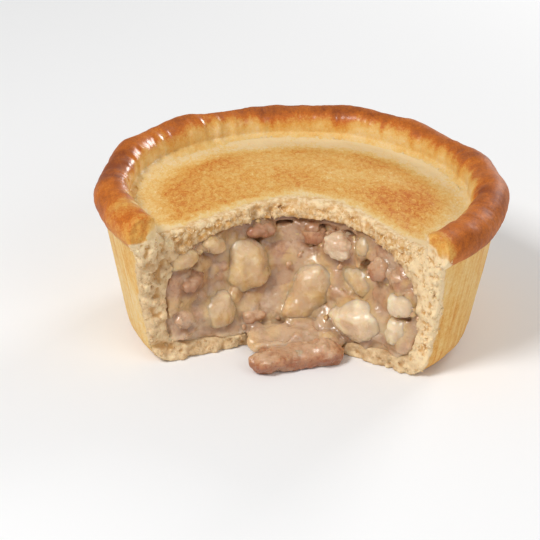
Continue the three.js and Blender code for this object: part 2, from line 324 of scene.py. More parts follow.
class Turned:
    """Signed distance to a closed outline of radius and height turned about the pie's axis."""

    STEP = 0.1
    LOW = np.array([0.0, -6.0])
    HIGH = np.array([62.0, 52.0])

    def __init__(self, outline):
        n = ((self.HIGH - self.LOW) / self.STEP).astype(int) + 1
        r, z = np.meshgrid(*(self.LOW[a] + self.STEP * np.arange(n[a]) for a in range(2)), indexing="ij")
        nearest = np.full(r.shape, 1e9)
        inside = np.zeros(r.shape, bool)
        for (ar, az), (br, bz) in zip(outline, np.roll(outline, -1, axis=0), strict=True):
            er, ez = br - ar, bz - az
            t = np.clip(((r - ar) * er + (z - az) * ez) / max(er * er + ez * ez, 1e-12), 0, 1)
            on_axis = ar < 1e-6 and br < 1e-6
            if not on_axis:
                nearest = np.minimum(nearest, (r - ar - t * er) ** 2 + (z - az - t * ez) ** 2)
            if az != bz:
                inside ^= ((az > z) != (bz > z)) & (r < ar + (z - az) * er / ez)
        self.table = (np.sqrt(nearest) * np.where(inside, -1, 1)).astype(np.float32)

    def at(self, r, z):
        u = np.clip((r - self.LOW[0]) / self.STEP, 0, self.table.shape[0] - 1.001)
        v = np.clip((z - self.LOW[1]) / self.STEP, 0, self.table.shape[1] - 1.001)
        i, j = u.astype(np.int32), v.astype(np.int32)
        fu, fv = u - i, v - j
        t = self.table
        low = t[i, j] * (1 - fu) + t[i + 1, j] * fu
        high = t[i, j + 1] * (1 - fu) + t[i + 1, j + 1] * fu
        return low * (1 - fv) + high * fv


def curve(a, control, b, steps=24):
    t = np.linspace(0, 1, steps)[:, None]
    return (1 - t) ** 2 * np.array(a) + 2 * t * (1 - t) * np.array(control) + t * t * np.array(b)


def shoulder(s, low, high, steps=24):
    """The ellipse that rounds the cavity from its wall, at 0, up to its ceiling, at a quarter turn."""
    t = np.linspace(low, high, steps)
    r = s.cavity_radius + s.shoulder_width * (np.cos(t) - 1)
    return np.stack([r, s.cavity_ceiling + s.shoulder_height * (np.sin(t) - 1)], 1)


SEAT_ANGLE = math.radians(40)


def roll_middle(s):
    return (s.rim_diameter - s.roll_width) / 2, s.pie_height - s.roll_height / 2


def case_outline(s):
    """Foot, wall, rolled rim, the lid's seat and the cavity. The seat reaches a little into the lid."""
    middle_r, middle_z = roll_middle(s)
    t = np.radians(np.linspace(-62, 196, 60))
    roll = np.stack([middle_r + s.roll_width / 2 * np.cos(t), middle_z + s.roll_height / 2 * np.sin(t)], 1)
    wall_foot = s.wall_foot_diameter / 2
    wall_low = wall_foot + (roll[0, 0] - wall_foot) * s.foot_round / roll[0, 1]
    floor_edge = s.cavity_radius - s.cavity_round
    side = (s.cavity_radius, s.base_thickness + s.cavity_round)
    return np.vstack(
        [
            [(0, 0)],
            curve((s.foot_diameter / 2, 0), (wall_foot, 0), (wall_low, s.foot_round)),
            roll,
            [(s.seam_radius - 0.5, s.seam_height - 0.1)],
            shoulder(s, SEAT_ANGLE + 0.02, 0),
            curve(side, (s.cavity_radius, s.base_thickness), (floor_edge, s.base_thickness)),
            [(0, s.base_thickness)],
        ]
    )


def lid_outline(s):
    """Underside, then a fillet that laps up the rim's inner slope, then the low dome."""
    t = np.linspace(0, 1, 40)[:, None]
    edge = s.seam_radius - 2.2
    a, b, c, d = (
        np.array(p)
        for p in (
            (edge, s.seam_height),
            (0.8 * s.seam_radius, s.seam_height),
            (0.6 * s.seam_radius, s.lid_crown),
            (0, s.lid_crown),
        )
    )
    dome = (1 - t) ** 3 * a + 3 * t * (1 - t) ** 2 * b + 3 * t * t * (1 - t) * c + t**3 * d
    seam = (s.seam_radius - 0.3, s.seam_height)
    lap = curve((s.seam_radius + 1.1, s.seam_height + 1.0), seam, (edge, s.seam_height))
    return np.vstack([[(0, s.cavity_ceiling)], shoulder(s, math.pi / 2, SEAT_ANGLE), lap[:-1], dome])


def cavity_outline(s):
    """The space for the filling, from the base up to the lid."""
    floor_edge = s.cavity_radius - s.cavity_round
    side = (s.cavity_radius, s.base_thickness + s.cavity_round)
    return np.vstack(
        [
            [(0, s.base_thickness)],
            curve((floor_edge, s.base_thickness), (s.cavity_radius, s.base_thickness), side),
            shoulder(s, 0, math.pi / 2),
            [(0, s.cavity_ceiling)],
        ]
    )


@lru_cache(maxsize=1)
def cavity(s):
    return Turned(cavity_outline(s))


def in_cut(s, x, y, z, slump=1.0):
    """How deep a place lies inside the cut-out wedge; below 0 it lies in the pie."""
    rise = np.clip(z / s.seam_height, 0, 1) ** slump
    ax = s.apex_low[0] + (s.apex_high[0] - s.apex_low[0]) * rise
    ay = s.apex_low[1] + (s.apex_high[1] - s.apex_low[1]) * rise
    sides = []
    for angle, way in ((s.left_angle, 1), (s.right_angle, -1)):
        dx = s.arm_radius * math.cos(angle) - ax
        dy = s.arm_radius * math.sin(angle) - ay
        long = np.sqrt(dx * dx + dy * dy)
        sides.append(way * (dx * (y - ay) - dy * (x - ax)) / long)
    return soft_min(*sides, s.round_low + (s.round_high - s.round_low) * rise)


def in_pastry_cut(s, x, y, z):
    """As in_cut, but the torn rim and the wall under it stand out."""
    on_rim = smooth(s.seam_radius + 0.5, s.seam_radius + 5, np.sqrt(x * x + y * y))
    return in_cut(s, x, y, z) - s.rim_overhang * on_rim * smooth(s.seam_height / 2, s.seam_height, z)


# Each wave's count, where a crest of it lies, and how far it goes out and up
RIM_WAVES = ((5, math.radians(70), 0.35, 0.45), (13, math.radians(20), 0.18, 0.2))


def unwave(s, r, angle, z):
    """Radius and height before the uneven waves of the rim were pressed into it."""
    on_roll = smooth(s.seam_radius + 1, s.seam_radius + 5, r)
    on_roll = on_roll * smooth(s.seam_height - 4, s.seam_height + 2, z)
    out, up = 0, 0
    for count, crest, wave_out, wave_up in RIM_WAVES:
        wave = np.cos(count * (angle - crest))
        out = out + wave_out * wave
        up = up + wave_up * wave
    return r - out * on_roll, z - up * on_roll


# Meshes


def islands(count, edges):
    """The lowest vertex number in each vertex's connected island."""
    label = np.arange(count)
    while True:
        a, b = label[edges[:, 0]], label[edges[:, 1]]
        low = np.minimum(a, b)
        new = label.copy()
        np.minimum.at(new, a, low)
        np.minimum.at(new, b, low)
        while (new[new] != new).any():
            new = new[new]
        if (new == label).all():
            return label
        label = new


def skin(field, block):
    """The largest closed surface of a field, as points in millimetres and quads."""
    grid = openvdb.FloatGrid(3.0)
    grid.copyFromArray(np.ascontiguousarray(field, np.float32))
    points, quads = grid.convertToQuads()
    points = (points + block.first) * block.step
    quads = quads.astype(np.int64)
    label = islands(len(points), np.vstack([quads[:, :2], quads[:, 1:3], quads[:, 2:4]]))
    main = np.bincount(label).argmax()
    quads = quads[label[quads[:, 0]] == main]
    used, quads = np.unique(quads, return_inverse=True)
    return points[used].astype(np.float32), quads.reshape(-1, 4)


def mesh_object(name, points, faces, attributes, material):
    mesh = bpy.data.meshes.new(name)
    mesh.vertices.add(len(points))
    mesh.vertices.foreach_set("co", (points * MM).astype(np.float32).ravel())
    mesh.loops.add(faces.size)
    mesh.polygons.add(len(faces))
    mesh.loops.foreach_set("vertex_index", faces.astype(np.int32).ravel())
    mesh.polygons.foreach_set("loop_start", np.arange(0, faces.size, faces.shape[1], dtype=np.int32))
    mesh.polygons.foreach_set("use_smooth", np.ones(len(faces), bool))
    mesh.update(calc_edges=True)
    for key, values in attributes.items():
        mesh.attributes.new(key, "FLOAT", "POINT").data.foreach_set("value", values.astype(np.float32))
    mesh.materials.append(material)
    thing = bpy.data.objects.new(name, mesh)
    bpy.context.scene.collection.objects.link(thing)
    return thing


def thin_out(thing, *regions):
    """Leaves only a share of the faces in each region, given as a mask of the vertices and that share."""
    for k, (mask, _) in enumerate(regions):
        values = mask.astype(np.float32)
        thing.data.attributes.new(f"thin_{k}", "FLOAT", "POINT").data.foreach_set("value", values)
    for k, (_, keep) in enumerate(regions):
        values = np.zeros(len(thing.data.vertices), np.float32)
        thing.data.attributes[f"thin_{k}"].data.foreach_get("value", values)
        chosen = np.nonzero(values > 0.5)[0]
        group = thing.vertex_groups.new(name="thin")
        group.add(chosen.tolist(), 1.0, "REPLACE")
        modifier = thing.modifiers.new("Thin", "DECIMATE")
        modifier.ratio = 1 - (1 - keep) * len(chosen) / len(values)
        modifier.vertex_group = group.name
        modifier.vertex_group_factor = 10
        bake_modifiers(thing)
        thing.vertex_groups.clear()
        thing.data.attributes.remove(thing.data.attributes[f"thin_{k}"])


def bake_modifiers(thing):
    """Turns what the modifiers make into the object's own plain mesh."""
    shape = thing.evaluated_get(bpy.context.evaluated_depsgraph_get())
    made = bpy.data.meshes.new_from_object(shape)
    old = thing.data
    thing.modifiers.clear()
    thing.data = made
    bpy.data.meshes.remove(old)
    made.name = thing.name


def settle(thing, slot, *nodes):
    """Rides on the pie's one body and stands for its solids, which it hides; the slot is not used."""
    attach(thing, "root")
    if nodes:
        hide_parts(*nodes)


# Materials


class Nodes:
    """A material's nodes, made one by one."""

    def __init__(self, name):
        self.material = bpy.data.materials.get(name) or bpy.data.materials.new(name)
        self.material.use_nodes = True
        self.tree = self.material.node_tree
        self.tree.nodes.clear()
        self.shader = self.tree.nodes.new("ShaderNodeBsdfPrincipled")
        output = self.tree.nodes.new("ShaderNodeOutputMaterial")
        self.tree.links.new(self.shader.outputs[0], output.inputs[0])
        place = self.tree.nodes.new("ShaderNodeTexCoord").outputs["Object"]
        self.mm = self.vector("SCALE", place, scale=1 / MM)

    def put(self, socket, value):
        if isinstance(value, bpy.types.NodeSocket):
            self.tree.links.new(value, socket)
        else:
            if socket.type == "RGBA" and len(value) == 3:
                value = (*value, 1)
            socket.default_value = value

    def vector(self, operation, a, b=(0, 0, 0), scale=1.0):
        node = self.tree.nodes.new("ShaderNodeVectorMath")
        node.operation = operation
        self.put(node.inputs[0], a)
        if operation == "SCALE":
            node.inputs["Scale"].default_value = scale
        else:
            self.put(node.inputs[1], b)
        return node.outputs[0]

    def math(self, operation, a, b=0.0, c=0.0, clamp=False):
        node = self.tree.nodes.new("ShaderNodeMath")
        node.operation = operation
        node.use_clamp = clamp
        for socket, value in zip(node.inputs, (a, b, c), strict=True):
            self.put(socket, value)
        return node.outputs[0]

    def attribute(self, name):
        node = self.tree.nodes.new("ShaderNodeAttribute")
        node.attribute_name = name
        return node.outputs["Fac"]

    def joined(self, *parts):
        node = self.tree.nodes.new("ShaderNodeCombineXYZ")
        for socket, value in zip(node.inputs, parts, strict=True):
            self.put(socket, value)
        return node.outputs[0]

    def noise(self, size, detail=3.0, rough=0.55, shift=0.0, at=None):
        """Noise from 0 to 1 with lumps of a size in millimetres, or of sizes along each axis."""
        sizes = size if hasattr(size, "__len__") else (size,) * 3
        moved = self.vector("ADD", at or self.mm, (shift, 1.7 * shift, 2.3 * shift))
        node = self.tree.nodes.new("ShaderNodeTexNoise")
        self.put(node.inputs["Vector"], self.vector("DIVIDE", moved, sizes))
        node.inputs["Scale"].default_value = 1.0
        node.inputs["Detail"].default_value = detail
        node.inputs["Roughness"].default_value = rough
        return node.outputs["Fac"]

    def ramp(self, value, *stops):
        node = self.tree.nodes.new("ShaderNodeValToRGB")
        self.put(node.inputs[0], value)
        elements = node.color_ramp.elements
        while len(elements) < len(stops):
            elements.new(0.5)
        for element, (place, shade) in zip(elements, stops, strict=True):
            element.position = place
            element.color = (*shade, 1)
        return node.outputs[0]

    def mix(self, share, a, b):
        node = self.tree.nodes.new("ShaderNodeMix")
        node.data_type = "RGBA"
        self.put(node.inputs[0], share)
        self.put(node.inputs[6], a)
        self.put(node.inputs[7], b)
        return node.outputs[2]

    def spread(self, value, low, high, to_low=0.0, to_high=1.0):
        node = self.tree.nodes.new("ShaderNodeMapRange")
        for socket, number in zip(node.inputs, (value, low, high, to_low, to_high)):
            self.put(socket, number)
        return node.outputs[0]

    def patches(self, size, detail, rough, shift, low, high, least=0.0, most=1.0):
        """Noise drawn out so that it goes from least to most between two of its values."""
        return self.spread(self.noise(size, detail, rough, shift), low, high, least, most)

    def add(self, *terms):
        """Sum of (socket, factor, offset) terms: factor * (socket + offset)."""
        total = None
        for socket, factor, offset in terms:
            part = self.math("MULTIPLY_ADD", socket, factor, factor * offset)
            total = part if total is None else self.math("ADD", total, part)
        return total

    def bump(self, height, depth, strength=1.0):
        """Fine unevenness, with its full depth in millimetres."""
        node = self.tree.nodes.new("ShaderNodeBump")
        node.inputs["Strength"].default_value = strength
        node.inputs["Distance"].default_value = depth * MM
        self.put(node.inputs["Height"], height)
        self.put(self.shader.inputs["Normal"], node.outputs[0])

    def set(self, **inputs):
        for name, value in inputs.items():
            self.put(self.shader.inputs[name.replace("_", " ")], value)

    def finish(self, shade, roughness, specular, glow, coat=(0.0, 0.03)):
        """Sets the shader. Glow is subsurface weight, radius and scale, coat is weight and roughness."""
        self.set(
            Base_Color=shade,
            Roughness=roughness,
            Specular_IOR_Level=specular,
            Subsurface_Weight=glow[0],
            Subsurface_Radius=glow[1],
            Subsurface_Scale=glow[2],
            Coat_Weight=coat[0],
            Coat_Roughness=coat[1],
        )


def pastry_material(context, name, has_wall):
    """Baked skin from cream to dark by its bake, pale crumb where it is cut, darkened in its creases as
    painted shade.
    """
    c = context.scene.pie.colours
    n = Nodes(name)
    bake, cut, pit, stain, gloss = (n.attribute(key) for key in ("bake", "cut", "pit", "stain", "gloss"))
    broad = n.noise(7.0, 3)
    mottle = n.noise((1.6, 2.6, 1.6), 5, 0.7, 11)
    veins = n.math("ABSOLUTE", n.math("SUBTRACT", n.noise((2.0, 3.6, 2.0), 4, 0.65, 51), 0.5))
    veins = n.spread(veins, 0.0, 0.06, 1.0, 0.0)
    grain = n.noise(0.5, 2, 0.6, 23)
    spots = n.noise(1.7, 4, 0.65, 5)
    terms = [(bake, 1.0, 0.0), (broad, 0.2, -0.5), (mottle, 0.5, -0.5), (grain, 0.35, -0.5)]
    if has_wall:
        unrolled = n.vector("MULTIPLY", n.mm, (0, 0, 1))
        unrolled = n.vector("ADD", unrolled, n.joined(n.attribute("turn"), 0.0, 0.0))
        streak = n.math("SUBTRACT", n.noise((1.1, 1.0, 22), 4, 0.75, 37, unrolled), 0.5)
        terms += [(veins, 0.06, -0.3), (n.math("MULTIPLY", n.attribute("wall"), streak), 1.05, 0.0)]
        spots = n.spread(spots, 0.54, 0.7, 0.0, 0.6)
    else:
        terms += [(veins, 0.15, -0.3), (n.patches((1.0, 1.9, 1.0), 4, 0.7, 63, 0.55, 0.72), -0.26, -0.2)]
        spotted = n.math("MULTIPLY_ADD", n.attribute("under"), 0.25, 0.75)
        spots = n.math("MULTIPLY", n.spread(spots, 0.4, 0.6), spotted)
    stops = zip((0.0, 0.2, 0.42, 0.66, 1.0), (c.cream, c.pale_gold, c.gold, c.brown, c.dark), strict=True)
    shade = n.ramp(n.add(*terms), *stops)
    # Random spots and painted shade in the creases take the crumb pit colour.
    crumb = n.mix(n.math("MAXIMUM", pit, spots), c.crumb, c.crumb_pit)
    crumb = n.mix(n.math("MULTIPLY", stain, n.patches(2.0, 3, 0.6, 19, 0.3, 0.6)), crumb, c.stain)
    n.finish(
        n.mix(cut, shade, crumb),
        n.math("MAXIMUM", n.spread(gloss, 0.0, 1.0, 0.55, 0.3), n.math("MULTIPLY", cut, 0.8)),
        0.2,
        glow=(0.1, (1.0, 0.5, 0.25), 0.0015),
        coat=(n.math("MULTIPLY", gloss, 0.6), 0.2),
    )
    granules = n.math("MULTIPLY", n.noise(0.6, 3, 0.7, 27), n.math("MULTIPLY_ADD", cut, 2.2, 0.3))
    n.bump(n.add((mottle, 0.4, 0), (grain, 0.3, 0), (granules, 0.8, 0)), 0.25, 0.7)
    return n.material


def gravy_material(context):
    """Brown gravy, wet all over, tinted by the meat and potato under it, with painted shade deep in the cut,
    under the lid, in its creases and under the lumps.
    """
    c = context.scene.pie.colours
    n = Nodes("gravy")
    hollow, crease, low = (n.attribute(key) for key in ("hollow", "crease", "low"))
    shade = n.mix(n.patches(4.0, 4, 0.6, 0, 0.35, 0.65, 0.0, 0.4), c.gravy, c.meat)
    shade = n.mix(n.patches(8.0, 3, 0.6, 49, 0.45, 0.7, 0.0, 0.42), shade, c.gravy_dark)
    minced = n.mix(n.patches(1.4, 4, 0.65, 45, 0.42, 0.66), c.meat, c.meat_dark)
    shade = n.mix(n.attribute("meaty"), shade, minced)
    shade = n.mix(n.attribute("mealy"), shade, c.potato)
    shade = n.mix(n.math("MULTIPLY", low, 0.2), shade, c.potato_pale)
    shade = n.mix(n.patches(0.8, 3, 0.6, 15, 0.58, 0.72, 0.0, 0.3), shade, c.meat_dark)
    n.finish(
        # Painted shade: the deep places, the creases and the gravy under lumps turn to dark gravy.
        n.mix(n.math("MAXIMUM", hollow, n.math("MULTIPLY", crease, 0.75)), shade, c.gravy_dark),
        n.patches(2.0, 3, 0.6, 3, 0.3, 0.7, 0.08, 0.3),
        0.5,
        glow=(0.5, (1.0, 0.6, 0.35), 0.004),
        coat=(0.6, 0.05),
    )
    n.bump(n.add((n.noise(1.1, 4, 0.6, 8), 1.0, 0), (n.noise(0.5, 2, 0.5, 9), 0.4, 0)), 0.45, 0.6)
    return n.material


def potato_material(context):
    """Boiled potato, pale where it has broken and on its crown, where the pale is partly painted light, and
    brown where gravy lies on it and as painted shade in its creases.
    """
    c = context.scene.pie.colours
    n = Nodes("potato")
    broken = n.patches(2.2, 3, 0.6, 13, 0.5, 0.72)
    share = n.math("ADD", n.math("MULTIPLY", broken, 0.6), n.attribute("pale"), clamp=True)
    shade = n.mix(share, c.potato, c.potato_pale)
    shade = n.mix(n.patches(4.0, 4, 0.55, 0, 0.3, 0.7, 0.0, 0.35), shade, c.potato_pale)
    stain = n.patches(3.0, 4, 0.65, 29, 0.54, 0.74, 0.0, 0.5)
    # Painted shade in the potato's creases takes the gravy colour.
    stain = n.math("MAXIMUM", stain, n.math("MAXIMUM", n.attribute("wet"), n.attribute("crease")))
    n.finish(
        n.mix(stain, shade, c.gravy),
        n.spread(broken, 0.0, 1.0, 0.26, 0.42),
        0.5,
        glow=(0.8, (1.0, 0.7, 0.4), 0.005),
        coat=(0.18, 0.12),
    )
    n.bump(n.noise(1.0, 4, 0.6, 2), 0.3, 0.5)
    return n.material


def meat_material(context):
    """Cooked meat with pale fibres and dark grains, painted shade in its creases and at its foot, and brown
    where gravy lies on it.
    """
    c = context.scene.pie.colours
    n = Nodes("meat")
    pale = n.attribute("pale")
    fibre = n.noise((2.6, 0.8, 0.8), 4, 0.6)
    dark = n.patches(1.7, 4, 0.65, 17, 0.43, 0.66, 0.0, 0.9)
    # Painted shade in creases and at the foot takes the dark meat colour.
    dark = n.math("MAXIMUM", n.math("SUBTRACT", dark, pale, clamp=True), n.attribute("crease"))
    light = n.math("ADD", n.spread(fibre, 0.52, 0.75, 0.0, 0.45), pale, clamp=True)
    shade = n.mix(light, n.mix(dark, c.meat, c.meat_dark), c.potato_pale)
    n.finish(
        n.mix(n.attribute("wet"), shade, c.gravy),
        n.patches(2.0, 3, 0.6, 5, 0.3, 0.75, 0.2, 0.5),
        0.5,
        glow=(0.25, (1.0, 0.45, 0.25), 0.003),
        coat=(0.25, 0.12),
    )
    n.bump(n.add((fibre, 0.6, 0), (n.noise(0.7, 3, 0.6, 6), 0.6, 0)), 0.4, 0.6)
    return n.material


def mince_material(context):
    c = context.scene.pie.colours
    n = Nodes("mince")
    meat, potato = (n.mix(0.4, flesh, c.gravy) for flesh in (c.meat, c.potato))
    shade = n.mix(n.patches(3.2, 1, 0.5, 61, 0.46, 0.54), meat, potato)
    n.finish(shade, 0.25, 0.5, glow=(0.3, (1.0, 0.5, 0.3), 0.002), coat=(0.3, 0.1))
    return n.material


def crumb_material(context):
    c = context.scene.pie.colours
    n = Nodes("crumbs")
    shade = n.mix(n.patches(1.6, 3, 0.6, 71, 0.5, 0.7, 0.0, 0.7), c.crumb, c.crumb_pit)
    shade = n.mix(n.attribute("stain"), shade, c.stain)
    n.finish(shade, 0.8, 0.25, glow=(0.1, (1.0, 0.6, 0.3), 0.001))
    return n.material


# Pastry

# The low corner, the high corner and the step of each block, in millimetres
CASE_BLOCK = ((-57.5, -45, -1.5), (57.5, 57.5, 47), 0.43)
LID_BLOCK = ((-46, -36, 25), (46, 46, 41.5), 0.34)

# The shares of the faces that are left where nothing shows, and on the plain wall
CASE_HIDDEN_SHARE = 0.18
LID_HIDDEN_SHARE = 0.2
WALL_SHARE = 0.4

# Directions round the pie of the rim's brownest stretch, of its glaze and of the wall's side that is painted
# darker as shade, away from the key light
BROWNEST = math.radians(181)
GLAZED = math.radians(155)
SHADED_SIDE = math.radians(330)

WALL_RADIUS = 48

# Between which depths a place turns into cut face, and a crease darkens as painted shade; and how strong that
# shade is
TORN_DEPTH = (-2.2, -1.2)
PIT_DEPTH = (0.04, 0.28)
PIT_SHADE = 0.85


def crumble(p):
    """Roughness of torn pastry: round clumps of crumbs with cracks between them, calmer at the top edge."""
    clumps = 1.5 * cells(p, 2.4, 21)[0] ** 2 + 0.8 * cells(p, 1.25, 23)[0] ** 2 - 0.8
    clumps = layered(p, (0.9, 5.2, 3), (0.4, 2.2, 5), start=clumps)
    return clumps * (1 - 0.45 * smooth(36, 38, p[:, 2]))


def flutes(p, pitch, length_along, radius, seed):
    """Noise drawn out up and down the wall or across the rim."""
    around = angle_of(p) * radius
    return noise(np.stack([around, np.zeros_like(around), p[:, 2]], 1), (pitch, 1, length_along), seed)


def facing(p, direction, low, high=1.0):
    """From 0 to 1, how nearly a place lies in a direction round the pie."""
    return smooth(low, high, np.cos(angle_of(p) - direction))


def rim_ribs(s, p):
    """Ribs that run across the rim, strongest on its inner slope."""
    middle_r = roll_middle(s)[0]
    inner = smooth(-1.0, 3.0, middle_r - radius_of(p))
    return (0.05 + 0.24 * inner) * flutes(p, 1.9, 14, middle_r, 71) + 0.05 * flutes(p, 0.9, 9, middle_r, 73)


def case_relief(s, p):
    r, z = radius_of(p), p[:, 2]
    on_roll = smooth(s.seam_radius, s.seam_radius + 2, r) * smooth(s.seam_height - 3, s.seam_height, z)
    on_wall = smooth(s.seam_radius - 2, s.seam_radius, r) * (1 - on_roll) * smooth(0.5, 3, z)
    roll = layered(p, (0.4, 10, 41), (0.18, 4, 43), (0.06, 1.4, 47)) + rim_ribs(s, p)
    wall = 0.25 * noise(p, 17, 53) + 0.12 * flutes(p, 2.4, 30, WALL_RADIUS, 61)
    wall = wall + 0.08 * flutes(p, 1.1, 18, WALL_RADIUS, 67)
    return on_roll * roll + on_wall * wall


def lid_relief(s, p):
    waves = layered(p, (0.42, (17, 17, 30), 81), (0.2, (7, 7, 30), 83))
    blisters = layered(p, (0.1, 2.6, 87), (0.06, 1.2, 89))
    in_seam = smooth(44.5, 41, radius_of(p))
    return (waves + blisters) * in_seam * smooth(s.lid_crown - 5, s.lid_crown - 2.6, p[:, 2])


def pastry_field(s, outline, block, relief, waves):
    """Turned pastry with its skin's relief, less the cut. The rim's torn ends are worn round."""
    turned = Turned(outline)
    x, y, z = block.axes
    r = np.sqrt(x * x + y * y) + 0 * z
    z = z + 0 * r
    if waves:
        field = turned.at(*unwave(s, r, np.arctan2(y, x), z))
    else:
        field = turned.at(r, z)
    cut = in_pastry_cut(s, x, y, z)
    block.relief(field, (np.abs(field) < 1.6) & (cut < 4), lambda p: relief(s, p))
    block.relief(cut, (np.abs(cut) < 5) & (field < 2), crumble)
    return soft_max(field, cut, 0.5)


def pastry_marks(s, p):
    """How deep each place lies in the cut, and how torn and how pale it is."""
    x, y, z = p.T
    depth = in_pastry_cut(s, x, y, z)
    on_roll = smooth(36.5, 39, z) * smooth(44.5, 46.5, radius_of(p))
    ragged = 2.0 + 1.2 * smooth(0, -20, x) - 1.6 * noise(p, 2.8, 97)
    torn = smooth(-2.1, -1.1, depth + 0.6 * noise(p, 2.0, 95) - ragged * on_roll)
    pale = smooth(-6.5, -1.6, depth + layered(p, (1.2, 3.2, 91), (0.6, 1.2, 93)))
    return depth, torn, pale


def around_roll(s, p):
    """Degrees round the rolled rim's own middle: 0 faces out, 90 up and 180 in."""
    middle_r, middle_z = roll_middle(s)
    around = np.degrees(np.arctan2(p[:, 2] - middle_z, radius_of(p) - middle_r))
    return np.where(around < -100, around + 360, around)


def case_bake(s, p):
    """Browning of the case: brown on the rim, fading to cream down its inner slope, pale on the wall. Light
    and shade from the left are painted in too.
    """
    middle_r, z = roll_middle(s)[0], p[:, 2]
    streak = flutes(p, 1.7, 12, middle_r, 75) + 0.7 * flutes(p, 4.5, 20, middle_r, 77)
    # Painted light and shade: the rim a little darker toward the right and paler at the left front, where the
    # light falls
    roll = 0.76 + 0.04 * np.cos(angle_of(p)) + layered(p, (0.1, 11, 101), (0.1, 4, 103))
    roll = roll - 0.12 * facing(p, s.left_angle, 0.86) + 0.18 * facing(p, BROWNEST, 0.88)
    roll = roll - 0.6 * smooth(108, 192, around_roll(s, p) + 16 * streak)
    # The wall's bake is painted darker on its front right side, as shade
    wall = 0.2 + 0.08 * noise(p, 14, 107) + 0.1 * facing(p, SHADED_SIDE, -0.2, 0.6) + 0.12 * smooth(10, 0, z)
    on_wall = smooth(s.pie_height - 8.0, s.pie_height - 9.2, z + 0.3 * noise(p, 3, 105))
    return roll + (wall - roll) * on_wall


def rim_gloss(s, p):
    """The glaze that has gathered on the rim's inner slope, most of all at the left."""
    around = around_roll(s, p)
    inner = smooth(92, 125, around) * smooth(205, 180, around)
    inner = inner * smooth(s.seam_height - 1, s.seam_height + 1, p[:, 2])
    return inner * (0.35 + 0.65 * facing(p, GLAZED, 0.1, 0.8))


def gravy_stain(s, p):
    """Where cut pastry has drunk gravy: all round the filling, the left of the cut and the base's edge."""
    x, _, z = p.T
    rim = 0.7 * smooth(2.6, 0.2, cavity(s).at(radius_of(p), z) + 1.2 * noise(p, 2.6, 119))
    left = 0.65 * smooth(-22, -32, x) * smooth(34.5, 31, z + 1.5 * noise(p, 5, 115))
    base = 0.8 * smooth(7, 4.5, z + noise(p, 4, 117)) * smooth(33, 27, x)
    return np.maximum(np.maximum(rim, left), base) * (0.8 + 0.2 * noise(p, 2.5, 113))


class PIE_OT_pastry_case(bpy.types.Operator):
    """Make the pastry case: base, wall and rolled rim"""

    bl_idname = "pie.pastry_case"
    bl_label = "Pastry case"

    def execute(self, context):
        s = sizes_in_mm(context)
        block = Block(*CASE_BLOCK)
        field = pastry_field(s, case_outline(s), block, case_relief, True)
        points, quads = skin(field, block)
        depth, torn, pale = pastry_marks(s, points)
        x, _, z = points.T
        r = radius_of(points)
        stain = gravy_stain(s, points)
        paling = (0.24 - 0.12 * smooth(0, -20, x)) * smooth(36, 39, z) * smooth(-4, -1, depth)
        marks = {
            "cut": torn,
            "wall": smooth(s.seam_radius - 1, s.seam_radius + 1, r) * smooth(36, 34, z),
            "stain": stain,
            "gloss": rim_gloss(s, points),
            # Creases of the cut face, painted darker as shade
            "pit": PIT_SHADE * creases(field, block, points, *PIT_DEPTH),
            "turn": WALL_RADIUS * np.mod(angle_of(points) + math.pi / 2, 2 * math.pi),
            "face": smooth(*TORN_DEPTH, depth) * (1 - 0.8 * stain) * smooth(38, 36, z) * smooth(0.8, 2, z),
            "bake": case_bake(s, points) - paling * pale,
        }
        thing = mesh_object("case_crust", points, quads, marks, pastry_material(context, "crust", True))
        hidden = ((r < s.seam_radius - 0.6) | (z < 0.3)) & (depth < -2.5)
        thin_out(thing, (hidden, CASE_HIDDEN_SHARE), ((depth < -4) & (z < 34), WALL_SHARE))
        settle(thing, "crust", "pastry_case")
        return {"FINISHED"}


class PIE_OT_pastry_lid(bpy.types.Operator):
    """Make the lid, set down inside the rim"""

    bl_idname = "pie.pastry_lid"
    bl_label = "Pastry lid"

    def execute(self, context):
        s = sizes_in_mm(context)
        block = Block(*LID_BLOCK)
        field = pastry_field(s, lid_outline(s), block, lid_relief, False)
        points, quads = skin(field, block)
        depth, torn, pale = pastry_marks(s, points)
        x, y, z = points.T
        r = radius_of(points)
        brown_patch = np.exp(-((x - 31) ** 2 + (y + 2) ** 2) / 2 / 9**2)
        bake = 0.37 + 0.1 * noise(points, 12, 111) + 0.1 * brown_patch + 0.07 * smooth(-8, -24, x)
        bake = bake - 0.36 * smooth(33, 43, r) - 0.14 * smooth(33, 41, r) * smooth(8, 28, y)
        marks = {
            "cut": torn,
            "bake": bake - 0.36 * pale,
            "stain": gravy_stain(s, points),
            "gloss": 0 * r,
            # Creases of the cut face, painted darker as shade
            "pit": PIT_SHADE * creases(field, block, points, *PIT_DEPTH),
            "face": smooth(*TORN_DEPTH, depth) * smooth(s.seam_height + 1, s.seam_height, z),
            "under": smooth(s.seam_height + 0.8, s.seam_height - 1.2, z + 0.6 * noise(points, 3, 155)),
        }
        thing = mesh_object("lid_crust", points, quads, marks, pastry_material(context, "lid", False))
        thin_out(thing, ((z < s.seam_height - 1.5) & (depth < -2.5), LID_HIDDEN_SHARE))
        settle(thing, "lid", "pastry_lid")
        return {"FINISHED"}


# Filling

FILLING_STEP = 0.35
FILLING_HIDDEN_SHARE = 0.06
LUMP_STEP = 0.3
# Between which depths a crease of the gravy or of a lump is painted darker, as shade
CREASE_DEPTH = (0.04, 0.3)

# Lumps of mince under the gravy, and how strongly a lump tints the gravy round it
LUMPY_SIZE = 4.4
LUMPY_SEED = 129
LUMP_TINT = 0.6

